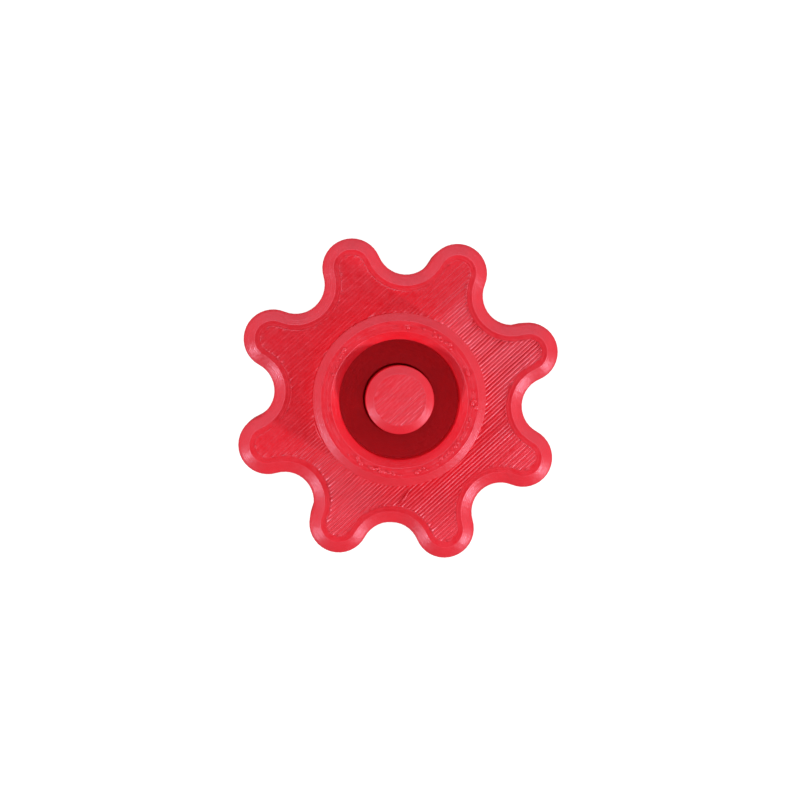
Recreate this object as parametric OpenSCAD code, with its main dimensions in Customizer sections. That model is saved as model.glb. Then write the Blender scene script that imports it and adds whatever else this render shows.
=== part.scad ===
// Lobed feed wheel of an extruder: a printed hand wheel that turns round a fixed printed post
// on a shielded ball bearing pressed into its back.
// Z = 0 is the rear mounting face, +Z points to the collar, and a valley lies on +X.

/* [Wheel] */
// Diameter over the lobe tips
wheel_d = 42; // [41:0.5:44]
// Number of lobes round the rim
lobes = 8; // [8]
// Radius of each lobe's round tip
lobe_tip_r = 3.7; // [3.5:0.1:3.9]
// Radius of each round valley between two lobes
valley_r = 3.8; // [3.6:0.1:4.0]
// Thickness of the lobed disc
disc_h = 12; // [11.8:0.1:14]
// Bevel on the front edge of the disc
edge_bevel = 1.4; // [0.6:0.2:1.6]
// Bevel on the rear edge of the disc
rear_bevel = 0.6; // [0.2:0.2:0.8]
// Height of one printed layer, which steps the disc's bevels
layer_h = 0.2; // [0.1:0.1:0.2]

/* [Collar] */
// Outer diameter of the collar
collar_d = 21.3; // [21:0.1:23]
// Height of the collar above the disc
collar_h = 6; // [4:0.1:7]
// Diameter of the well inside the collar
well_d = 14.8; // [14:0.1:15.4]
// Bevel on the collar's outer rim
collar_bevel = 1; // [0.4:0.1:1.2]
// Bevel round the well's mouth
well_bevel = 1; // [0.4:0.1:1.2]

/* [Axle] */
// Diameter of the post that stands in the well
post_d = 8.4; // [8:0.1:9]
// How far the post's tip stands past the collar's rim
post_past_collar = 1.8; // [0:0.1:3]
// Bevel on the post's tip
post_bevel = 1; // [0.5:0.1:1.5]
// Diameter of the shoulder that rests on the bearing's inner ring
shoulder_d = 11.4; // [11:0.1:11.6]
// Thickness of that shoulder
shoulder_h = 0.8; // [0.6:0.1:1]
// Gap between the axle and the wheel's web, round the post and in front of the shoulder
web_gap = 0.2; // [0.2:0.05:0.4]
// Clearance hole for the end of the mounting screw
screw_hole_d = 3.2; // [3.1:0.1:3.4]
// Depth of the screw hole from the axle's rear end
screw_hole_depth = 12; // [8:0.5:13]

/* [Bearing] */
// Bore of the ball bearing
bearing_bore = 8; // [8]
// Outer diameter of the ball bearing
bearing_od = 22; // [22]
// Width of the ball bearing
bearing_w = 7; // [7]
// Number of balls
balls = 7; // [6:1:7]
// Diameter of each ball
ball_d = 3.969; // [3.9:0.001:4]
// Radial play between ball and raceway groove
groove_play = 0.05; // [0.02:0.01:0.1]

/* [Mounting] */
// Length of the spacer between the mounting face and the bearing
spacer_h = 3.1; // [3.1:0.1:3.6]
// Outer diameter of the spacer
spacer_d = 12; // [11:0.1:12]
// Gap between the wheel's back and the mounting face
back_gap = 0.8; // [0.5:0.1:1]
// Diameter of the hole that the thread insert is melted into
insert_d = 4.6; // [4.4:0.1:4.8]
// Length of the thread insert
insert_h = 5.7; // [5:0.1:6]
// Tapping bore of the M3 thread
thread_bore_d = 2.5; // [2.5]

/* [Hidden] */
$fn = 96;

red_plastic = "crimson";
ring_steel = "silver";
cage_steel = "darkgray";
overshoot = 1; // How far a cutting shape runs past the face it cuts

// Heights
bearing_z = spacer_h;
bearing_mid = bearing_z + bearing_w / 2;
bearing_front = bearing_z + bearing_w;
disc_top = back_gap + disc_h;
collar_top = disc_top + collar_h;
post_top = collar_top + post_past_collar;

// Lobed outline: each tip arc runs into a valley arc on the line between their centres.
// The arcs cross by a hair rather than just touch, which keeps the outline a clean closed curve.
half_pitch = 180 / lobes;
arc_crossing = 0.002;
centre_gap = lobe_tip_r + valley_r - arc_crossing;
tip_centre = wheel_d / 2 - lobe_tip_r;
valley_centre = tip_centre * cos(half_pitch)
    + sqrt(pow(centre_gap, 2) - pow(tip_centre * sin(half_pitch), 2));

// Inside of the wheel
pocket_lead_in = 0.4;
pocket_relief_h = shoulder_h + web_gap;
pocket_relief_d = bearing_od - 3;
web_hole_d = post_d + 2 * web_gap;
web_h = 0.8;
well_floor = bearing_front + pocket_relief_h + web_h;

// Spring ring in its groove, its gap towards -Y
ring_h = 1;
ring_groove_h = 1.1;
ring_groove_d = bearing_od + 1;
ring_band = 1.95;
ring_band_shift = 0.5;
ring_gap = 2.6;
ring_eye_r = 1.5;
ring_eye_hole_r = 0.75;
ring_eye_place = ring_groove_d / 2 - 2.1;
ring_eye_x = ring_gap / 2 + 0.9 * ring_eye_r;

// Bearing rings and shields
pitch_r = (bearing_bore + bearing_od) / 4;
groove_r = ball_d / 2 + groove_play;
inner_land_r = pitch_r - 1.45;
outer_land_r = pitch_r + 1.45;
ring_corner = 0.3;
shield_t = 0.3;
shield_seat = bearing_w / 2 - 0.7;
shield_r = outer_land_r + 0.65;
shield_step_r = outer_land_r - 0.5;
shield_gap = 0.15;
shield_dish = 0.15;

// Ribbon cage
cage_t = 0.35;
cage_play = 0.1;
cage_half_width = 0.62;
cage_pocket_r = ball_d / 2 + cage_play;
rivet_r = 0.3;
rivet_head_r = 0.48;
rivet_head_h = 0.2;

// Axle
axle_rear = 0.3;
axle_lead_in = 0.4;
insert_waist = 0.25;
insert_band_h = 1.9;

// One layer's outline, drawn in from the full outline by inset
module lobed_outline(inset = 0) {
    difference() {
        union() {
            polygon([for (i = [0 : lobes - 1], tip = [0, 1])
                let (a = (2 * i + tip) * half_pitch, r = tip == 1 ? tip_centre : valley_centre)
                [r * cos(a), r * sin(a)]]);
            for (i = [0 : lobes - 1])
                rotate((2 * i + 1) * half_pitch)
                    translate([tip_centre, 0]) circle(lobe_tip_r - inset);
        }
        for (i = [0 : lobes - 1])
            rotate(2 * i * half_pitch)
                translate([valley_centre, 0]) circle(valley_r + inset);
    }
}

// Disc with its rear and front edges bevelled in layers
module lobed_disc() {
    rear_layers = round(rear_bevel / layer_h);
    front_layers = round(edge_bevel / layer_h);
    for (i = [0 : rear_layers - 1])
        translate([0, 0, back_gap + i * layer_h])
            linear_extrude(layer_h) lobed_outline(rear_bevel - i * layer_h);
    translate([0, 0, back_gap + rear_bevel])
        linear_extrude(disc_h - rear_bevel - edge_bevel) lobed_outline();
    for (i = [1 : front_layers])
        translate([0, 0, disc_top - edge_bevel + (i - 1) * layer_h])
            linear_extrude(layer_h) lobed_outline(i * layer_h);
}

// Half section of a tube, with its front rim bevelled inside and outside
module rim_profile(r_in, r_out, z0, z1, bevel_in, bevel_out) {
    polygon([[r_in, z0], [r_out, z0], [r_out, z1 - bevel_out], [r_out - bevel_out, z1],
        [r_in + bevel_in, z1], [r_in, z1 - bevel_in]]);
}

module lobed_wheel() {
    color(red_plastic) difference() {
        union() {
            lobed_disc();
            rotate_extrude()
                rim_profile(well_d / 2, collar_d / 2, well_floor, collar_top, well_bevel,
                    collar_bevel);
        }
        translate([0, 0, well_floor]) cylinder(h = collar_h + disc_h, d = well_d);
        cylinder(h = disc_top, d = web_hole_d);
        cylinder(h = bearing_front + pocket_relief_h, d = pocket_relief_d);
        cylinder(h = bearing_front, d = bearing_od);
        translate([0, 0, bearing_z - ring_groove_h]) cylinder(h = ring_groove_h, d = ring_groove_d);
        translate([0, 0, back_gap])
            cylinder(h = pocket_lead_in, d1 = bearing_od + 2 * pocket_lead_in, d2 = bearing_od);
    }
}

module axle_post() {
    journal_r = bearing_bore / 2;
    color(red_plastic) difference() {
        union() {
            translate([0, 0, bearing_front])
                cylinder(h = post_top - post_bevel - bearing_front, d = post_d);
            translate([0, 0, post_top - post_bevel])
                cylinder(h = post_bevel, d1 = post_d, d2 = post_d - 2 * post_bevel);
            translate([0, 0, bearing_front]) cylinder(h = shoulder_h, d = shoulder_d);
            translate([0, 0, axle_rear + axle_lead_in])
                cylinder(h = bearing_front - axle_rear - axle_lead_in, r = journal_r);
            translate([0, 0, axle_rear])
                cylinder(h = axle_lead_in, r1 = journal_r - axle_lead_in, r2 = journal_r);
        }
        cylinder(h = axle_rear + insert_h, d = insert_d);
        cylinder(h = axle_rear + screw_hole_depth, d = screw_hole_d);
    }
}

// Brass insert with a collar at each end and a waist between
module thread_insert() {
    color("gold") translate([0, 0, axle_rear]) difference() {
        union() {
            cylinder(h = insert_h, d = insert_d - 2 * insert_waist);
            for (z = [0, insert_h - insert_band_h])
                translate([0, 0, z]) cylinder(h = insert_band_h, d = insert_d);
        }
        translate([0, 0, -overshoot]) cylinder(h = insert_h + 2 * overshoot, d = thread_bore_d);
    }
}

module rear_spacer() {
    color("gainsboro") difference() {
        cylinder(h = spacer_h, d = spacer_d);
        translate([0, 0, -overshoot]) cylinder(h = spacer_h + 2 * overshoot, d = bearing_bore);
    }
}

// Draws its children at each ball's place, turned by a part of the pitch between balls
module at_balls(part_pitch = 0) {
    for (i = [0 : balls - 1])
        rotate((i + part_pitch) * 360 / balls) translate([pitch_r, 0, 0]) children();
}

// Half section of a bearing ring with bevelled corners on the side away from the balls
module ring_profile(r_plain, r_land) {
    difference() {
        translate([min(r_plain, r_land), -bearing_w / 2])
            square([abs(r_plain - r_land), bearing_w]);
        translate([pitch_r, 0]) circle(groove_r);
        for (end = [-1, 1])
            translate([r_plain, end * bearing_w / 2])
                rotate(45) square(ring_corner * sqrt(2), center = true);
    }
}

module bearing_inner_ring() {
    color(ring_steel) translate([0, 0, bearing_mid])
        rotate_extrude() ring_profile(bearing_bore / 2, inner_land_r);
}

module bearing_outer_ring() {
    color(ring_steel) translate([0, 0, bearing_mid]) rotate_extrude() difference() {
        ring_profile(bearing_od / 2, outer_land_r);
        for (end = [0, 1])
            mirror([0, end]) translate([outer_land_r - overshoot, shield_seat])
                square([shield_r - outer_land_r + overshoot, bearing_w]);
    }
}

module bearing_balls() {
    color(ring_steel) translate([0, 0, bearing_mid]) at_balls() sphere(d = ball_d);
}

// Pressed half of the cage: a flat ring that is raised into a round pocket over each ball
module cage_half() {
    color(cage_steel) difference() {
        intersection() {
            union() {
                cylinder(h = cage_t, r = pitch_r + cage_half_width + overshoot);
                at_balls() sphere(cage_pocket_r + cage_t);
            }
            difference() {
                cylinder(h = bearing_w, r = pitch_r + cage_half_width);
                translate([0, 0, -overshoot])
                    cylinder(h = bearing_w + 2 * overshoot, r = pitch_r - cage_half_width);
            }
        }
        at_balls() sphere(cage_pocket_r);
        at_balls(0.5) translate([0, 0, -overshoot]) cylinder(h = cage_t + 2 * overshoot, r = rivet_r);
    }
}

module cage_front_half() {
    translate([0, 0, bearing_mid]) cage_half();
}

module cage_rear_half() {
    translate([0, 0, bearing_mid]) mirror([0, 0, 1]) cage_half();
}

module cage_rivets() {
    color(cage_steel) translate([0, 0, bearing_mid]) at_balls(0.5) {
        translate([0, 0, -cage_t - rivet_head_h / 2])
            cylinder(h = 2 * cage_t + rivet_head_h, r = rivet_r);
        for (end = [0, 1])
            mirror([0, 0, end]) translate([0, 0, cage_t]) cylinder(h = rivet_head_h, r = rivet_head_r);
    }
}

// Thin pressed ring between the bearing's rings, with a shallow step round its middle
module shield() {
    color(cage_steel) rotate_extrude() {
        translate([shield_step_r, 0]) square([shield_r - shield_step_r, shield_t]);
        translate([inner_land_r + shield_gap, -shield_dish])
            square([shield_step_r + shield_t - inner_land_r - shield_gap, shield_t]);
    }
}

module front_shield() {
    translate([0, 0, bearing_mid + shield_seat]) shield();
}

module rear_shield() {
    translate([0, 0, bearing_mid - shield_seat]) mirror([0, 0, 1]) shield();
}

// Spring ring: narrow at its open ends, each with an eye for the pliers
module retaining_ring() {
    color(ring_steel) translate([0, 0, bearing_z - ring_h]) linear_extrude(ring_h) difference() {
        union() {
            difference() {
                circle(d = ring_groove_d);
                translate([0, -ring_band_shift]) circle(ring_groove_d / 2 - ring_band);
            }
            ring_eyes() circle(ring_eye_r);
        }
        ring_eyes() circle(ring_eye_hole_r);
        translate([-ring_gap / 2, -ring_groove_d]) square([ring_gap, ring_groove_d]);
    }
}

// Draws its children at both eyes of the spring ring
module ring_eyes() {
    for (side = [-1, 1])
        translate([side * ring_eye_x, -sqrt(pow(ring_eye_place, 2) - pow(ring_eye_x, 2))]) children();
}

lobed_wheel();
axle_post();
thread_insert();
rear_spacer();
bearing_inner_ring();
bearing_outer_ring();
bearing_balls();
cage_front_half();
cage_rear_half();
cage_rivets();
front_shield();
rear_shield();
retaining_ring();
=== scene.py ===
import math

import bmesh
import bpy
import numpy as np
from mathutils import Matrix, Vector
from mathutils.geometry import delaunay_2d_cdt


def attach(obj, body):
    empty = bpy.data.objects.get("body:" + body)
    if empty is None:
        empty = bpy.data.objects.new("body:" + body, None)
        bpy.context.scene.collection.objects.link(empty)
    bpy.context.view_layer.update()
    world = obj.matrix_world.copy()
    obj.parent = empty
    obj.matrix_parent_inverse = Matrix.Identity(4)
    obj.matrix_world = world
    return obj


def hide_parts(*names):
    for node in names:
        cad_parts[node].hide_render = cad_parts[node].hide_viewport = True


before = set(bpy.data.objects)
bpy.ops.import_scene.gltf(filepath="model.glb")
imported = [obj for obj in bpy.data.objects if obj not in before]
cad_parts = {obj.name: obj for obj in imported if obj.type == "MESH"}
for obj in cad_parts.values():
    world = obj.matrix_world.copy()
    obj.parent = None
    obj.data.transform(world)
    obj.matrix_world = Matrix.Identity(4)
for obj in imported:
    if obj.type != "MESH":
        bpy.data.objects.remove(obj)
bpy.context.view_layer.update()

MM = 0.001
SEED = 11

# Every printed surface is made of beads of this height and width
LAYER = 0.2 * MM
LINE = 0.4 * MM

# Depth of the groove between two beads, by where they lie
WALL_GROOVE = 0.026 * MM
TOP_GROOVE = 0.15 * MM
CROWN_GROOVE = 0.035 * MM
EDGE_GROOVE = 0.04 * MM
RING_GROOVE = 0.012 * MM
BACK_GROOVE = 0.012 * MM

# Unevenness of the beads: on the wheel's side, in round walls, and in inner walls
SIDE_WOBBLE = 0.0045 * MM
ROUND_WOBBLE = 0.004 * MM
INNER_WOBBLE = 0.003 * MM
CROWN_WOBBLE = 0.008 * MM

# Direction of the solid layers' lines
TOP_ANGLE = math.radians(45)
BACK_ANGLE = math.radians(-45)


# ---------------------------------------------------------------- sizes from the frame

def cad_points(node):
    """A CAD node's vertices as radius from the axis and height."""
    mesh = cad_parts[node].data
    flat = np.empty(len(mesh.vertices) * 3, np.float32)
    mesh.vertices.foreach_get("co", flat)
    x, y, z = flat.reshape(-1, 3).astype(float).T
    return np.hypot(x, y), z


def at_radius(radius, height, r, slack=0.01 * MM):
    """Lowest and highest point on the cylinder of radius r."""
    found = height[np.abs(radius - r) < slack]
    return found.min(), found.max()


LOBES = 8
HALF_PITCH = math.pi / LOBES
TIP_ARC = 3.7 * MM

wheel_r, wheel_z = cad_points("lobed_wheel")
ring_r, ring_z = cad_points("bearing_outer_ring")
TIP_R = wheel_r.max()
POCKET_R = ring_r.max()
POCKET_TOP = ring_z.max()
rim = wheel_r > 1.25 * POCKET_R  # the solid part of the disc, outside the bearing's pocket
DISC_BOTTOM, DISC_TOP = wheel_z[rim].min(), wheel_z[rim].max()
wall_bottom, wall_top = at_radius(wheel_r, wheel_z, TIP_R)
REAR_BEVEL = wall_bottom - DISC_BOTTOM
EDGE_BEVEL = DISC_TOP - wall_top
ROOT_R = wheel_r[rim & (np.abs(wheel_z - wall_top) < LAYER / 4)].min()

above_disc = wheel_z > DISC_TOP + LAYER / 2
COLLAR_R = wheel_r[above_disc].max()
WELL_R = wheel_r[above_disc].min()
COLLAR_TOP = wheel_z.max()
crown = wheel_r[wheel_z > COLLAR_TOP - LAYER / 4]
CROWN_IN, CROWN_OUT = crown.min(), crown.max()
COLLAR_BEVEL = COLLAR_R - CROWN_OUT
WELL_BEVEL = CROWN_IN - WELL_R

WEB_HOLE_R = wheel_r.min()
WEB_BOTTOM, WELL_FLOOR = at_radius(wheel_r, wheel_z, WEB_HOLE_R)
RELIEF_R = wheel_r[np.abs(wheel_z - WEB_BOTTOM) < LAYER / 4].max()
GROOVE_R = wheel_r[~rim & (wheel_z < POCKET_TOP) & (wheel_z > DISC_BOTTOM + LAYER)].max()
GROOVE_BOTTOM, GROOVE_TOP = at_radius(wheel_r, wheel_z, GROOVE_R)
MOUTH_R = wheel_r[~rim & (wheel_z < DISC_BOTTOM + LAYER)].max()

axle_r, axle_z = cad_points("axle_post")
SHOULDER_R = axle_r.max()
SHOULDER_BOTTOM, SHOULDER_TOP = at_radius(axle_r, axle_z, SHOULDER_R)
POST_R = axle_r[axle_z > WELL_FLOOR].max()
POST_TOP = axle_z.max()
POST_BEVEL = POST_R - axle_r[axle_z > POST_TOP - LAYER / 4].max()
AXLE_REAR = axle_z.min()
JOURNAL_R = cad_points("bearing_inner_ring")[0].min()
INSERT_R = cad_points("thread_insert")[0].max()
INSERT_FRONT = cad_points("thread_insert")[1].max()
SCREW_HOLE_R = axle_r[axle_r > 0.1 * MM].min()
SCREW_HOLE_END = at_radius(axle_r, axle_z, SCREW_HOLE_R)[1]
AXLE_LEAD_IN = 0.4 * MM


# ---------------------------------------------------------------- outline of the lobes

TIP_CENTRE = TIP_R - TIP_ARC


def valley_arc():
    """Radius of the valley arc that touches both the root circle and the tip arcs beside it."""
    across = TIP_CENTRE * math.cos(HALF_PITCH)
    top = TIP_ARC ** 2 - ROOT_R ** 2 - TIP_CENTRE ** 2 + 2 * across * ROOT_R
    return top / (2 * (ROOT_R - across - TIP_ARC))


VALLEY_ARC = valley_arc()
VALLEY_CENTRE = ROOT_R + VALLEY_ARC
TIP_STEPS = 18
VALLEY_STEPS = 14


def lobed_loop(inset=0.0):
    """Points round the outline, drawn in by inset (one number, or one for each point)."""
    tip = np.array([TIP_CENTRE, 0.0])
    valley = VALLEY_CENTRE * np.array([math.cos(HALF_PITCH), math.sin(HALF_PITCH)])
    reach = valley - tip
    join = math.atan2(reach[1], reach[0])
    tip_turn = np.linspace(-join, join, TIP_STEPS, endpoint=False)
    valley_start = join + math.pi
    valley_end = 2 * (HALF_PITCH + math.pi) - valley_start
    valley_turn = np.linspace(valley_start, valley_end, VALLEY_STEPS, endpoint=False)
    inset = np.broadcast_to(inset, LOBES * (TIP_STEPS + VALLEY_STEPS))
    inset = inset.reshape(LOBES, -1)
    loop = []
    for lobe in range(LOBES):
        tip_size = (TIP_ARC - inset[lobe, :TIP_STEPS])[:, None]
        valley_size = (VALLEY_ARC + inset[lobe, TIP_STEPS:])[:, None]
        tips = tip + tip_size * np.stack([np.cos(tip_turn), np.sin(tip_turn)], 1)
        valleys = valley + valley_size * np.stack([np.cos(valley_turn), np.sin(valley_turn)], 1)
        turn = (2 * lobe + 1) * HALF_PITCH
        spin = np.array([[math.cos(turn), math.sin(turn)], [-math.sin(turn), math.cos(turn)]])
        loop.append(np.vstack([tips, valleys]) @ spin)
    return np.vstack(loop)


def round_loop(radius, steps):
    """Points round a circle (radius may be one number, or one for each point)."""
    turn = np.arange(steps) * 2 * math.pi / steps
    return np.stack([radius * np.cos(turn), radius * np.sin(turn)], 1)


# ---------------------------------------------------------------- printed surfaces

class Shell:
    """Vertices and faces of one printed piece."""

    def __init__(self):
        self.points = []
        self.faces = []
        self.count = 0

    def add(self, xy, z):
        """Adds points and returns the index of the first one."""
        z = np.broadcast_to(z, len(xy))
        self.points.append(np.column_stack([xy, z]))
        self.count += len(xy)
        return self.count - len(xy)

    def band(self, low, high, steps):
        """Joins two closed rows of points with quads."""
        here = np.arange(steps)
        there = (here + 1) % steps
        quads = np.stack([low + here, low + there, high + there, high + here], 1)
        self.faces.extend(map(tuple, quads.tolist()))

    def stack(self, rows, steps):
        """Joins rows of points in order and returns each row's first index."""
        starts = [self.add(xy, z) for xy, z in rows]
        for low, high in zip(starts, starts[1:]):
            self.band(low, high, steps)
        return starts

    def fan(self, start, steps, z, up):
        """Closes a row with a fan round a point on the axis."""
        middle = self.add(np.zeros((1, 2)), z)
        for i in range(steps):
            pair = (start + i, start + (i + 1) % steps)
            self.faces.append((*pair, middle) if up else (*pair[::-1], middle))

    def build(self, name, material):
        """Makes the Blender object."""
        mesh = bpy.data.meshes.new(name)
        mesh.from_pydata(np.vstack(self.points).tolist(), [], self.faces)
        mesh.validate()
        mesh.update()
        mesh.polygons.foreach_set("use_smooth", [True] * len(mesh.polygons))
        mesh.materials.append(material)
        piece = bpy.data.objects.new(name, mesh)
        bpy.context.scene.collection.objects.link(piece)
        return piece


WALL_SAMPLES = (0.0, 0.5)
BEVEL_SAMPLES = (0.0, 0.3, 0.7)


def bead_rows(bottom, top, draw_in=lambda rise: 0.0):
    """Rows (draw-in, height, layer) up a printed wall, with one rounded bead for each layer.
    draw_in gives how far the wall has drawn in at a height above the bottom."""
    layers = max(1, round((top - bottom) / LAYER))
    thick = (top - bottom) / layers
    rows = []
    for layer in range(layers):
        low = draw_in(layer * thick)
        step = draw_in((layer + 1) * thick) - low
        slope = math.hypot(step, thick)
        for share in BEVEL_SAMPLES if abs(step) > 0.01 * MM else WALL_SAMPLES:
            sunk = WALL_GROOVE * (1 - math.sin(math.pi * share))
            inset = low + share * step + sunk * thick / slope
            rows.append((inset, bottom + (layer + share) * thick - sunk * step / slope, layer))
    rows.append((low + step + WALL_GROOVE, top, layers - 1))
    return rows


def wobble(rng, layers, steps, size, waves):
    """Small unevenness along each layer, smooth along the path and different from layer to layer."""
    field = rng.normal(size=(layers, steps))
    spectrum = np.fft.rfft(field, axis=1)
    spectrum *= np.exp(-((np.arange(spectrum.shape[1]) / waves) ** 2))
    field = np.fft.irfft(spectrum, steps, axis=1)
    return size * field / field.std()


def polar_reach(loop):
    """Function that gives the loop's distance from the axis in any direction."""
    angle = np.arctan2(loop[:, 1], loop[:, 0])
    order = np.argsort(angle)
    angle, reach = angle[order], np.hypot(*loop[order].T)
    angle = np.concatenate([[angle[-1] - 2 * math.pi], angle, [angle[0] + 2 * math.pi]])
    reach = np.concatenate([[reach[-1]], reach, [reach[0]]])
    return lambda a: np.interp(a, angle, reach)


# Section across one bead: (share of its width, share of the groove's depth).
# A bead leans on the one laid before it, so one flank is long and the other steep
BEAD_SECTION = ((0.0, 1.0), (0.15, 0.6), (0.4, 0.15), (0.65, 0.0), (0.88, 0.3))
FLAT_SECTION = ((0.0, 1.0), (0.5, 0.0))
FACE_STEP = 0.9 * MM
POST_STEP = 0.25 * MM
SEARCH_STEP = 0.04 * MM
EDGE_GAP = 0.05 * MM
END_STEPS = np.array([0.0, 0.1, 0.24]) * MM


def infill_lines(angle, section, step, outer_reach, inner_r):
    """Lines of points along each bead of a solid layer:
    (bead number, share of its width, share of groove depth, across, along, distance to the end)."""
    span = TIP_R + LINE
    fine = np.arange(-span, span, SEARCH_STEP)
    lines = []
    for number in range(-int(span / LINE), int(span / LINE) + 1):
        for share, depth in section:
            across = (number + share) * LINE
            x = fine * math.cos(angle) - across * math.sin(angle)
            y = fine * math.sin(angle) + across * math.cos(angle)
            r = np.hypot(x, y)
            inside = (r < outer_reach(np.arctan2(y, x)) - EDGE_GAP) & (r > inner_r + EDGE_GAP)
            steps = np.flatnonzero(np.diff(np.concatenate([[0], inside.astype(int), [0]])))
            for start, end in steps.reshape(-1, 2):
                lo, hi = fine[start], fine[end - 1]
                if hi - lo < LINE:
                    continue
                middle = np.arange(math.ceil((lo + LINE) / step), math.floor((hi - LINE) / step) + 1)
                along = np.concatenate([lo + END_STEPS, middle * step, (hi - END_STEPS)[::-1]])
                if hi - lo < 2.2 * END_STEPS[-1] + LINE:
                    along = np.array([lo, (lo + hi) / 2, hi])
                lines.append((number, share, depth, across, along, np.minimum(along - lo, hi - along)))
    return lines


def infill_cap(shell, outer, inner, angle, section, step, relief, up):
    """Fills the face inside a row, or between two rows, with beads laid side by side at an angle.
    A row is (first index, points, height); relief(line, x, y) gives the height of a line's points,
    which are a step apart."""
    outer_reach = polar_reach(outer[1])
    loops = [outer, inner] if inner else [outer]
    inner_r = np.hypot(*inner[1].T).max() if inner else -LINE
    points, index, edges = [], [], []
    for first, loop, _ in loops:
        base, size = len(points), len(loop)
        points += [Vector(p) for p in loop]
        index += range(first, first + size)
        edges += [(base + i, base + (i + 1) % size) for i in range(size)]
    for line in infill_lines(angle, section, step, outer_reach, inner_r):
        across, along = line[3], line[4]
        x = along * math.cos(angle) - across * math.sin(angle)
        y = along * math.sin(angle) + across * math.cos(angle)
        first = shell.add(np.stack([x, y], 1), relief(line, x, y))
        edges += [(len(points) + i, len(points) + i + 1) for i in range(len(x) - 1)]
        index += range(first, first + len(x))
        points += [Vector(p) for p in zip(x, y)]
    made, _, faces, sources, _, _ = delaunay_2d_cdt(points, edges, [], 0, 1e-9, True)
    middle = np.array([[sum(made[v][k] for v in f) / len(f) for k in (0, 1)] for f in faces])
    reach = np.hypot(*middle.T)
    direction = np.arctan2(middle[:, 1], middle[:, 0])
    keep = reach < outer_reach(direction)
    if inner:
        keep &= reach > polar_reach(inner[1])(direction)
    for face, kept in zip(faces, keep):
        if kept:
            corners = [index[sources[v][0]] for v in face]
            shell.faces.append(tuple(corners if up else corners[::-1]))


def plain_cap(shell, outer, inner, up):
    """Fills the flat face between two rows that have different numbers of points."""
    loops = (outer, inner)
    points = [Vector(p) for loop in loops for p in loop[1]]
    index = [loop[0] + i for loop in loops for i in range(len(loop[1]))]
    edges, base = [], 0
    for loop in loops:
        size = len(loop[1])
        edges += [(base + i, base + (i + 1) % size) for i in range(size)]
        base += size
    made, _, faces, sources, _, _ = delaunay_2d_cdt(points, edges, [], 0, 1e-9, True)
    hole = len(outer[1])
    for face in faces:
        corners = [sources[v][0] for v in face]
        if min(corners) < hole:
            corners = [index[c] for c in corners]
            shell.faces.append(tuple(corners if up else corners[::-1]))


def ripple(rng, scale):
    """Smooth random height field of about unit size, as a function of x and y."""
    turns = rng.uniform(0, 2 * math.pi, 7)
    rates = 2 * math.pi / (scale * rng.uniform(0.6, 1.6, 7))
    phases = rng.uniform(0, 2 * math.pi, 7)

    def field(x, y):
        parts = [
            np.sin(rate * (x * math.cos(turn) + y * math.sin(turn)) + phase)
            for turn, rate, phase in zip(turns, rates, phases)
        ]
        return sum(parts) / math.sqrt(len(parts))

    return field


BLOB_R = 0.16 * MM


def smooth_step(low, high, value):
    """0 below low, 1 above high, and a smooth rise between."""
    share = np.clip((value - low) / (high - low), 0, 1)
    return share * share * (3 - 2 * share)


def infill_relief(rng, height, groove, blob, mottle):
    """Height of a solid layer's beads: rounded crests, uneven skin, and blobs where a line turns back.
    Past the collar the lines stand out more. Those far to one side lie much flatter, and those far
    to the other side a little."""
    count = 2 * int((TIP_R + LINE) / LINE) + 3
    ends = rng.uniform(0.2, 1.0, (count, 2))
    pressed = rng.uniform(0.55, 1.15, count)
    slow = ripple(rng, 3.2 * MM)
    quick = ripple(rng, 0.7 * MM)

    def relief(line, x, y):
        number, share, depth, across, along, from_end = line
        proud = 0.9 + 0.6 * smooth_step(0.6 * COLLAR_R, 1.1 * COLLAR_R, along)
        proud = proud * (1 - 0.85 * smooth_step(-0.3 * COLLAR_R, 0.7 * COLLAR_R, across))
        proud = proud * (1 - 0.25 * smooth_step(0.6 * COLLAR_R, 1.2 * COLLAR_R, -across))
        z = height - groove * depth * proud * pressed[number]
        z = z + 0.5 * mottle * slow(x, y) + mottle * quick(x, y)
        far_end = (along > along.mean()).astype(int)
        turning = np.where((number + far_end) % 2 == 0, 1.0, 0.25)
        bump = blob * turning * ends[number, far_end] * np.exp(-((from_end / BLOB_R) ** 2))
        return z + bump * (1 - 0.8 * depth)

    return relief


def ring_beads(r_from, r_to, z, groove):
    """Rows (radius, height) across a flat ring that is printed as round beads side by side."""
    beads = max(1, round(abs(r_to - r_from) / LINE))
    wide = (r_to - r_from) / beads
    rows = []
    for bead in range(beads):
        rows += [(r_from + (bead + 0.25) * wide, z), (r_from + (bead + 0.75) * wide, z)]
        if bead < beads - 1:
            rows.append((r_from + (bead + 1) * wide, z - groove))
    return rows


# ---------------------------------------------------------------- the printed wheel

OUTER_STEPS = LOBES * (TIP_STEPS + VALLEY_STEPS)
COLLAR_STEPS = 192
CROWN_BEADS = 3
POCKET_STEPS = 96
EDGE_ROUND = 0.3 * MM
PERIMETERS = 2
PERIMETER_WIDTH = 0.35 * MM
PERIMETER_SECTION = ((0.3, 0.0), (0.7, 0.0), (1.0, 1.0))
CROWN_LUMP = 0.10 * MM
LUMP_GAP = 0.7 * MM

# The seam, where each layer starts, is a shallow notch in the middle of a valley
SEAM = 5 * (TIP_STEPS + VALLEY_STEPS) + TIP_STEPS + VALLEY_STEPS // 2
SEAM_DEPTHS = (0.02 * MM, 0.07 * MM)
SEAM_SECTION = (0.4, 1.0, 0.4)


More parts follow.
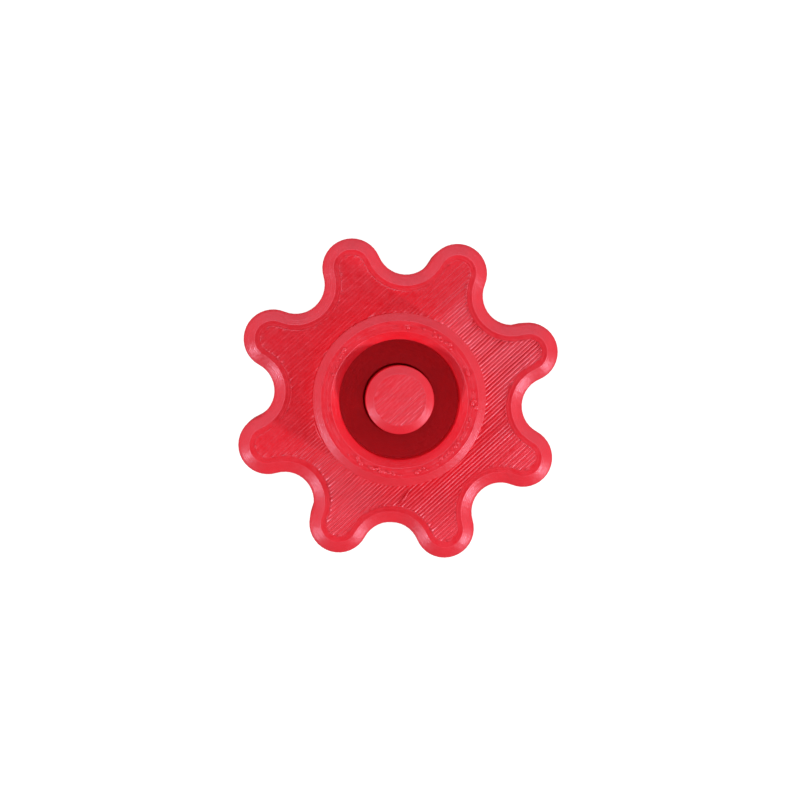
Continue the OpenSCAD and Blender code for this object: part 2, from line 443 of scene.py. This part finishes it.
def lobed_wall(shell, rng):
    """Side of the disc, its bevels, and the beads that run along its edge on the front face.
    Returns the first and last rows."""
    high = DISC_TOP - DISC_BOTTOM
    full = math.hypot(EDGE_BEVEL, EDGE_ROUND) - EDGE_ROUND

    def draw_in(rise):
        past = max(rise - high + EDGE_BEVEL, 0.0)
        front = EDGE_BEVEL * (math.hypot(past, EDGE_ROUND) - EDGE_ROUND) / full
        return max(REAR_BEVEL - rise, 0.0) + front

    rows = bead_rows(DISC_BOTTOM, DISC_TOP, draw_in)
    layers = rows[-1][2] + 1
    uneven = wobble(rng, layers, OUTER_STEPS, SIDE_WOBBLE, 24)
    uneven += rng.normal(0, INNER_WOBBLE, (layers, 1))
    seam = np.zeros(OUTER_STEPS)
    seam[[SEAM - 1, SEAM, SEAM + 1]] = SEAM_SECTION
    uneven = uneven - np.outer(rng.uniform(*SEAM_DEPTHS, layers), seam)
    placed = [(lobed_loop(inset + uneven[layer]), z) for inset, z, layer in rows]
    for bead in range(PERIMETERS):
        start = EDGE_BEVEL + bead * PERIMETER_WIDTH
        for share, depth in PERIMETER_SECTION:
            placed.append((lobed_loop(start + share * PERIMETER_WIDTH), DISC_TOP - depth * EDGE_GROOVE))
    starts = shell.stack(placed, OUTER_STEPS)
    return (starts[0], *placed[0]), (starts[-1], *placed[-1])


def round_rows(rows, base, sign, uneven, steps):
    """Turns (draw-in, height, layer) rows into circles. sign is 1 for a wall that faces the axis."""
    return [(round_loop(base + sign * (inset + uneven[layer]), steps), z) for inset, z, layer in rows]


def lumpy_row(rng, steps, radius):
    """Small bumps and pits along a circle, thick in some places and sparse in others."""
    row = np.zeros(steps)
    turn = 0.0
    density = ripple(rng, 2.1)
    while turn < 2 * math.pi:
        middle = int(turn / (2 * math.pi) * steps) % steps
        if density(turn, 0.0) > -0.5:
            row[middle] = rng.uniform(0.3, 1.0)
            row[(middle + 1) % steps] = -rng.uniform(0.2, 0.7)
        turn += rng.uniform(0.7, 1.5) * LUMP_GAP / radius
    return row


def collar_and_well(shell, rng):
    """Collar's outer wall, crown, well and web hole. Returns the first and last rows."""
    bottom = DISC_TOP - TOP_GROOVE
    high = COLLAR_TOP - bottom
    outer = bead_rows(bottom, COLLAR_TOP, lambda rise: max(rise - high + COLLAR_BEVEL, 0.0))
    uneven = wobble(rng, outer[-1][2] + 1, COLLAR_STEPS, ROUND_WOBBLE, 20)
    rows = round_rows(outer, COLLAR_R, -1, uneven, COLLAR_STEPS)

    deep = COLLAR_TOP - WELL_FLOOR
    inner = bead_rows(WELL_FLOOR, COLLAR_TOP, lambda rise: max(rise - deep + WELL_BEVEL, 0.0))
    uneven = wobble(rng, inner[-1][2] + 1, COLLAR_STEPS, ROUND_WOBBLE, 20)
    well = round_rows(inner, WELL_R, 1, uneven, COLLAR_STEPS)[::-1]

    crown_bead = (CROWN_OUT - CROWN_IN) / CROWN_BEADS
    for bead in range(CROWN_BEADS):
        lumps = CROWN_LUMP * lumpy_row(rng, COLLAR_STEPS, CROWN_OUT) if bead > 0 else 0.0
        bumpy = wobble(rng, len(BEAD_SECTION), COLLAR_STEPS, CROWN_WOBBLE, 60)
        for (share, depth), skin in zip(BEAD_SECTION, bumpy):
            if bead + share > 0:
                height = COLLAR_TOP - depth * CROWN_GROOVE + (1 - depth) ** 2 * lumps + skin
                rows.append((round_loop(CROWN_OUT - (bead + share) * crown_bead, COLLAR_STEPS), height))
    rows += well

    floor = ring_beads(WELL_R + inner[0][0], WEB_HOLE_R, WELL_FLOOR, RING_GROOVE)
    rows += [(round_loop(r, COLLAR_STEPS), z) for r, z in floor]
    hole = bead_rows(WEB_BOTTOM, WELL_FLOOR)[::-1]
    uneven = wobble(rng, hole[0][2] + 1, COLLAR_STEPS, INNER_WOBBLE, 12)
    rows += round_rows(hole, WEB_HOLE_R, 1, uneven, COLLAR_STEPS)
    starts = shell.stack(rows, COLLAR_STEPS)
    return (starts[0], *rows[0]), (starts[-1], *rows[-1])


def pocket(shell, rng):
    """Relief, bearing pocket and ring groove, from the web to the back face. Returns the end rows."""
    rows = []
    mouth_top = DISC_BOTTOM + 2 * LAYER
    for radius, top, bottom in (
        (RELIEF_R, WEB_BOTTOM, POCKET_TOP),
        (POCKET_R, POCKET_TOP, GROOVE_TOP),
        (GROOVE_R, GROOVE_TOP, GROOVE_BOTTOM),
        (POCKET_R, GROOVE_BOTTOM, mouth_top),
    ):
        wall = bead_rows(bottom, top)[::-1]
        uneven = np.abs(wobble(rng, wall[0][2] + 1, POCKET_STEPS, INNER_WOBBLE, 16))
        rows += round_rows(wall, radius, 1, uneven, POCKET_STEPS)
    rows.append((round_loop(MOUTH_R, POCKET_STEPS), DISC_BOTTOM))
    starts = shell.stack(rows, POCKET_STEPS)
    return (starts[0], *rows[0]), (starts[-1], *rows[-1])


def printed_wheel(material):
    """The wheel and collar, in one print, instead of the plain node lobed_wheel."""
    rng = np.random.default_rng(SEED)
    shell = Shell()
    back_edge, face_edge = lobed_wall(shell, rng)
    collar_foot, web_edge = collar_and_well(shell, rng)
    relief_edge, mouth = pocket(shell, rng)
    top = infill_relief(rng, DISC_TOP, TOP_GROOVE, 0.15 * MM, 0.008 * MM)
    infill_cap(shell, face_edge, collar_foot, TOP_ANGLE, BEAD_SECTION, FACE_STEP, top, True)
    back = infill_relief(rng, DISC_BOTTOM, -BACK_GROOVE, 0.0, 0.002 * MM)
    infill_cap(shell, back_edge, mouth, BACK_ANGLE, FLAT_SECTION, FACE_STEP, back, False)
    plain_cap(shell, relief_edge, web_edge, False)
    piece = shell.build("wheel_print", material)
    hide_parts("lobed_wheel")
    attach(piece, "wheel")


# ---------------------------------------------------------------- the printed axle

AXLE_STEPS = 112


def printed_axle(material):
    """The axle, drawn from its screw hole out and up to its tip, instead of the plain node axle_post."""
    rng = np.random.default_rng(SEED + 1)
    shell = Shell()
    rows = []

    def wall(radius, bottom, top, sign, draw_in=lambda rise: 0.0, down=False):
        beads = bead_rows(bottom, top, draw_in)
        uneven = np.abs(wobble(rng, beads[-1][2] + 1, AXLE_STEPS, INNER_WOBBLE, 14))
        placed = round_rows(beads, radius, sign, uneven, AXLE_STEPS)
        rows.extend(placed[::-1] if down else placed)
        return beads[-1][0]

    wall(SCREW_HOLE_R, INSERT_FRONT, SCREW_HOLE_END, 1, down=True)
    wall(INSERT_R, AXLE_REAR, INSERT_FRONT, 1, down=True)
    wall(JOURNAL_R, AXLE_REAR, SHOULDER_BOTTOM, -1, lambda rise: max(AXLE_LEAD_IN - rise, 0.0))
    wall(SHOULDER_R, SHOULDER_BOTTOM, SHOULDER_TOP, -1)
    tall = POST_TOP - SHOULDER_TOP
    wall(POST_R, SHOULDER_TOP, POST_TOP, -1, lambda rise: max(rise - tall + POST_BEVEL, 0.0))
    starts = shell.stack(rows, AXLE_STEPS)
    shell.fan(starts[0], AXLE_STEPS, SCREW_HOLE_END, False)
    tip = infill_relief(rng, POST_TOP, TOP_GROOVE, 0.06 * MM, 0.016 * MM)
    infill_cap(shell, (starts[-1], *rows[-1]), None, TOP_ANGLE, BEAD_SECTION, POST_STEP, tip, True)
    piece = shell.build("axle_print", material)
    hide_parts("axle_post")
    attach(piece, "axle")


# ---------------------------------------------------------------- stray threads of plastic

THREAD_SIDES = 8
THREAD_STEPS = 14


def stray_thread(name, path, radius, material):
    """Thin thread of plastic that lies on the disc's face, thick in the middle and pointed at its ends."""
    shell = Shell()
    place = np.linspace(0.0, 1.0, THREAD_STEPS)
    middle = path(place)
    heading = np.gradient(middle, axis=0)
    heading /= np.hypot(*heading.T)[:, None]
    turn = np.arange(THREAD_SIDES) * 2 * math.pi / THREAD_SIDES
    sizes = radius * np.sin(math.pi * (0.06 + 0.88 * place))
    starts = []
    for point, (hx, hy), size in zip(middle, heading, sizes):
        sideways = size * np.cos(turn)
        xy = point + np.stack([-hy * sideways, hx * sideways], 1)
        starts.append(shell.add(xy, DISC_TOP + 0.5 * radius + size * np.sin(turn)))
    for low, high in zip(starts, starts[1:]):
        shell.band(low, high, THREAD_SIDES)
    around = range(THREAD_SIDES)
    shell.faces.append(tuple(starts[0] + i for i in reversed(around)))
    shell.faces.append(tuple(starts[-1] + i for i in around))
    piece = shell.build(name, material)
    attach(piece, "wheel")


def short_straight(middle, angle, length):
    """Path of a straight thread."""
    way = np.array([math.cos(angle), math.sin(angle)])
    return lambda place: np.array(middle) + np.outer((place - 0.5) * length, way)


def short_arc(radius, start, end):
    """Path of a thread that follows a circle round the axis."""
    def path(place):
        turn = start + (end - start) * place
        return radius * np.stack([np.cos(turn), np.sin(turn)], 1)
    return path


# ---------------------------------------------------------------- dots of plastic

DOT_R = 0.21 * MM
DOT_GAP = 0.45 * MM
# Where the ring of dots lies, as a share of the way out across the crown
DOT_CIRCLE = 0.46


def crown_dots(name, material):
    """Small round dots that the nozzle left on the collar's crown, in a ring that is thick in some
    places and sparse in others."""
    rng = np.random.default_rng(SEED + 2)
    density = ripple(rng, 2.1)
    dots = bmesh.new()
    turn = 0.0
    while turn < 2 * math.pi:
        share = DOT_CIRCLE + rng.normal(0, 0.12)
        radius = CROWN_IN + share * (CROWN_OUT - CROWN_IN)
        size = DOT_R * rng.uniform(0.55, 1.25)
        if density(turn, 0.0) + rng.normal(0, 0.5) > 0.1:
            place = Vector((radius * math.cos(turn), radius * math.sin(turn), COLLAR_TOP))
            shape = Matrix.Translation(place) @ Matrix.Rotation(turn, 4, "Z")
            shape = shape @ Matrix.Diagonal((1.0, rng.uniform(0.9, 1.5), rng.uniform(0.7, 1.1), 1.0))
            bmesh.ops.create_icosphere(dots, subdivisions=2, radius=size, matrix=shape)
        turn += rng.uniform(0.6, 1.4) * DOT_GAP / radius
    mesh = bpy.data.meshes.new(name)
    dots.to_mesh(mesh)
    dots.free()
    mesh.materials.append(material)
    mesh.shade_smooth()
    piece = bpy.data.objects.new(name, mesh)
    bpy.context.scene.collection.objects.link(piece)
    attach(piece, "wheel")


# ---------------------------------------------------------------- materials

class Nodes:
    """Short way to build a material's node tree."""

    def __init__(self, name):
        self.material = bpy.data.materials.new(name)
        self.material.use_nodes = True
        self.tree = self.material.node_tree
        self.surface = self.tree.nodes["Principled BSDF"]
        self.place = self.tree.nodes.new("ShaderNodeTexCoord").outputs["Object"]

    def node(self, kind, **values):
        """Adds a node. A value goes to the input of its name, or else it is the node's own setting."""
        made = self.tree.nodes.new(kind)
        for name, value in values.items():
            if name in made.inputs:
                self.put(value, made.inputs[name])
            else:
                setattr(made, name, value)
        return made

    def put(self, value, target):
        """Links an output to the target, or sets a plain value."""
        if isinstance(value, bpy.types.NodeSocket):
            self.tree.links.new(value, target)
        else:
            target.default_value = value

    def set(self, **values):
        """Fills the surface's inputs, with _ for a space in their names."""
        for name, value in values.items():
            self.put(value, self.surface.inputs[name.replace("_", " ")])

    def noise(self, size, detail=3.0, roughness=0.55, place=None):
        """Cloudy pattern with spots of about this size."""
        made = self.node("ShaderNodeTexNoise", Scale=1 / size, Detail=detail, Roughness=roughness)
        self.put(place or self.place, made.inputs["Vector"])
        return made.outputs["Fac"]

    def spread(self, value, low, high, start=0.3, end=0.7):
        """Maps a pattern's start..end to low..high."""
        made = self.node("ShaderNodeMapRange")
        for socket, number in zip(made.inputs[:5], (value, start, end, low, high)):
            self.put(number, socket)
        return made.outputs["Result"]

    def mix(self, share, first, second):
        """Blend of two colours."""
        made = self.node("ShaderNodeMix", data_type="RGBA")
        for socket, value in ((made.inputs[0], share), (made.inputs[6], first), (made.inputs[7], second)):
            self.put(value, socket)
        return made.outputs[2]

    def bump(self, height, distance, strength=1.0, normal=None):
        """Relief from a pattern, on top of another relief where one is given."""
        made = self.node("ShaderNodeBump", Strength=strength, Distance=distance, Height=height)
        if normal is not None:
            self.put(normal, made.inputs["Normal"])
        return made.outputs["Normal"]


def red_plastic():
    """Red filament: mottled colour, and a glossy skin roughened by a fine grain and small lumps."""
    n = Nodes("red_print")
    blotch = n.noise(2.6 * MM)
    grain = n.noise(0.16 * MM, detail=2.0)
    lumps = n.noise(0.5 * MM, detail=2.0)
    colour = n.mix(n.spread(blotch, 0.0, 1.0), (0.82, 0.005, 0.014, 1), (0.88, 0.008, 0.020, 1))
    n.set(
        Base_Color=colour,
        Roughness=n.spread(n.noise(0.7 * MM), 0.33, 0.48),
        IOR=1.55,
        Specular_IOR_Level=1.0,
        Specular_Tint=(1.0, 0.76, 1.0, 1),
        Normal=n.bump(grain, 0.016 * MM, 0.8, n.bump(lumps, 0.05 * MM, 0.9)),
    )
    return n.material


def turned_metal(name, colour, rough, line=0.12 * MM, depth=0.003 * MM):
    """Metal with fine rings round the axis, as left by grinding or turning."""
    n = Nodes(name)
    split = n.node("ShaderNodeSeparateXYZ", Vector=n.place)
    flat = n.node("ShaderNodeCombineXYZ", X=split.outputs["X"], Y=split.outputs["Y"])
    reach = n.node("ShaderNodeVectorMath", operation="LENGTH")
    n.put(flat.outputs[0], reach.inputs[0])
    rings = n.node("ShaderNodeCombineXYZ", X=reach.outputs["Value"], Z=split.outputs["Z"])
    lines = n.noise(line, detail=4.0, place=rings.outputs[0])
    smear = n.noise(3 * MM)
    tint = n.mix(n.spread(smear, 0.0, 1.0), (*[c * 0.88 for c in colour], 1), (*colour, 1))
    n.set(
        Base_Color=tint,
        Metallic=1.0,
        Roughness=n.spread(lines, rough * 0.75, rough * 1.3),
        Normal=n.bump(lines, depth, 0.6),
    )
    return n.material


def grained_metal(name, colour, rough, grain=0.2 * MM, depth=0.003 * MM):
    """Pressed or blackened steel with a fine even grain."""
    n = Nodes(name)
    fine = n.noise(grain)
    tint = n.mix(n.spread(n.noise(1.8 * MM), 0.0, 1.0), (*[c * 0.8 for c in colour], 1), (*colour, 1))
    n.set(
        Base_Color=tint,
        Metallic=1.0,
        Roughness=n.spread(fine, rough * 0.8, rough * 1.25),
        Normal=n.bump(fine, depth, 0.6),
    )
    return n.material


def dress(node, material):
    """Gives a CAD node that stays its material."""
    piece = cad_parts[node]
    piece.data.materials.clear()
    piece.data.materials.append(material)


# ---------------------------------------------------------------- studio

VIEW_TURN = math.radians(2.94)
VIEW_TILT = math.radians(2.0)
VIEW_DISTANCE = 0.32
VIEW_WIDTH = 99.66 * MM
SHIFT_RIGHT = 0.187 * MM
SHIFT_UP = -0.174 * MM
TARGET = Vector((0.0, 0.0, DISC_TOP))


def picture_direction(azimuth, elevation):
    """Unit vector for an azimuth seen in the picture (0 right, 90 up) and an elevation above the disc."""
    turn = math.radians(azimuth) + VIEW_TURN
    rise = math.radians(elevation)
    return Vector((math.cos(rise) * math.cos(turn), math.cos(rise) * math.sin(turn), math.sin(rise)))


def aim(thing, towards, up):
    """Turns a camera or lamp to look at a point, with up as near its own Y as it can be."""
    back = (thing.location - towards).normalized()
    right = up.cross(back).normalized()
    turn = Matrix((right, back.cross(right), back)).transposed()
    thing.rotation_euler = turn.to_euler()


def softbox(name, azimuth, elevation, distance, size, lit):
    """Round lamp. lit is how bright it alone makes a white face that looks straight up."""
    lamp = bpy.data.lights.new(name, "AREA")
    lamp.shape = "DISK"
    lamp.size = size
    lamp.energy = lit * (math.pi * distance) ** 2 / math.sin(math.radians(elevation))
    thing = bpy.data.objects.new(name, lamp)
    bpy.context.scene.collection.objects.link(thing)
    thing.location = TARGET + picture_direction(azimuth, elevation) * distance
    aim(thing, TARGET, Vector((0.013, 0.017, 1.0)).normalized())


def lit_or_seen(tree, lit, seen):
    """Strength of a glow that lights the object by one amount and is seen by the camera as another."""
    camera_ray = tree.nodes.new("ShaderNodeLightPath").outputs["Is Camera Ray"]
    choice = tree.nodes.new("ShaderNodeMapRange")
    tree.links.new(camera_ray, choice.inputs["Value"])
    for value, socket in ((lit, "To Min"), (seen, "To Max")):
        if isinstance(value, bpy.types.NodeSocket):
            tree.links.new(value, choice.inputs[socket])
        else:
            choice.inputs[socket].default_value = value
    return choice.outputs["Result"]


# The surround's light: (sine of the height above the horizon, brightness), and how much more of it
# comes from the picture's top
SKY = ((0.0, 0.2), (0.3, 0.6), (0.6, 1.45), (0.82, 0.6), (0.94, 0.03))
SKY_BRIGHTEST = 1.45
SKY_TOP_GAIN = 0.6
FLOOR_R = 3.0
LAMP_RISE = 20
LAMP_DISTANCE = 0.4
LAMP_SIZE = 0.042


def surround():
    """White surround, dim straight above as under a camera."""
    world = bpy.data.worlds.new("studio_world")
    world.use_nodes = True
    tree = world.node_tree
    split = tree.nodes.new("ShaderNodeSeparateXYZ")
    direction = tree.nodes.new("ShaderNodeTexCoord").outputs["Generated"]
    tree.links.new(direction, split.inputs[0])
    ramp = tree.nodes.new("ShaderNodeValToRGB")
    tree.links.new(split.outputs["Z"], ramp.inputs["Fac"])
    stops = ramp.color_ramp.elements
    while len(stops) < len(SKY):
        stops.new(0.5)
    for stop, (height, glow) in zip(stops, SKY):
        stop.position = height
        stop.color = (*[glow / SKY_BRIGHTEST] * 3, 1)
    slant = tree.nodes.new("ShaderNodeVectorMath")
    slant.operation = "DOT_PRODUCT"
    slant.inputs[1].default_value = picture_direction(90, 0) * SKY_TOP_GAIN * SKY_BRIGHTEST
    tree.links.new(direction, slant.inputs[0])
    gain = tree.nodes.new("ShaderNodeMath")
    gain.operation = "ADD"
    gain.inputs[1].default_value = SKY_BRIGHTEST
    tree.links.new(slant.outputs["Value"], gain.inputs[0])
    lit = tree.nodes.new("ShaderNodeMath")
    lit.operation = "MULTIPLY"
    tree.links.new(gain.outputs[0], lit.inputs[1])
    tree.links.new(ramp.outputs["Color"], lit.inputs[0])
    background = tree.nodes["Background"]
    background.inputs["Color"].default_value = (1, 1, 1, 1)
    tree.links.new(lit_or_seen(tree, lit.outputs[0], 1.0), background.inputs["Strength"])
    bpy.context.scene.world = world


def pale_floor():
    """Plain floor that looks almost white and lights nothing."""
    bpy.ops.mesh.primitive_circle_add(vertices=96, radius=FLOOR_R, fill_type="NGON")
    floor = bpy.context.object
    floor.name = "floor"
    n = Nodes("pale_floor")
    n.set(Base_Color=(0.3, 0.3, 0.3, 1), Roughness=0.9, Emission_Color=(1, 1, 1, 1))
    n.put(lit_or_seen(n.tree, 0.0, 0.95), n.surface.inputs["Emission Strength"])
    floor.data.materials.append(n.material)


def view():
    """Camera almost straight above the wheel, as in the photo."""
    lens = bpy.data.cameras.new("camera")
    camera = bpy.data.objects.new("camera", lens)
    bpy.context.scene.collection.objects.link(camera)
    lens.sensor_width = 36.0
    lens.lens = lens.sensor_width * VIEW_DISTANCE / VIEW_WIDTH
    lens.clip_start = 0.01
    picture_up = picture_direction(90, 0)
    picture_right = picture_direction(0, 0)
    centre = TARGET + picture_right * SHIFT_RIGHT + picture_up * SHIFT_UP
    camera.location = centre + picture_direction(135, 90 - math.degrees(VIEW_TILT)) * VIEW_DISTANCE
    aim(camera, centre, picture_up)
    bpy.context.scene.camera = camera


def studio():
    """Surround, floor, two small lamps low at the front, and camera."""
    bpy.context.scene.view_settings.view_transform = "Standard"
    surround()
    pale_floor()
    softbox("lamp_lower_right", 327, LAMP_RISE, LAMP_DISTANCE, LAMP_SIZE, 0.165)
    softbox("lamp_lower_left", 210, LAMP_RISE, LAMP_DISTANCE, LAMP_SIZE, 0.11)
    view()


# ---------------------------------------------------------------- the whole assembly

red = red_plastic()
printed_wheel(red)
printed_axle(red)
below_collar = short_straight((0.07 * TIP_R, -0.58 * TIP_R), math.radians(60), 2.2 * MM)
stray_thread("face_thread", below_collar, 0.12 * MM, red)
at_foot = short_arc(COLLAR_R + 0.2 * MM, math.radians(196), math.radians(215))
stray_thread("foot_thread", at_foot, 0.15 * MM, red)
crown_dots("crown_dots", red)

ring_steel = turned_metal("ring_steel", (0.62, 0.62, 0.63), 0.24)
ball_steel = turned_metal("ball_steel", (0.78, 0.78, 0.80), 0.10)
pressed_steel = grained_metal("pressed_steel", (0.55, 0.55, 0.56), 0.32)
spring_steel = grained_metal("spring_steel", (0.09, 0.085, 0.08), 0.42)
spacer_aluminium = turned_metal("spacer_aluminium", (0.75, 0.75, 0.76), 0.30, line=0.18 * MM)
insert_brass = turned_metal("insert_brass", (0.72, 0.50, 0.20), 0.28)
for name, material in (
    ("bearing_inner_ring", ring_steel),
    ("bearing_outer_ring", ring_steel),
    ("bearing_balls", ball_steel),
    ("cage_front_half", pressed_steel),
    ("cage_rear_half", pressed_steel),
    ("cage_rivets", pressed_steel),
    ("front_shield", pressed_steel),
    ("rear_shield", pressed_steel),
    ("retaining_ring", spring_steel),
    ("rear_spacer", spacer_aluminium),
    ("thread_insert", insert_brass),
):
    dress(name, material)

studio()
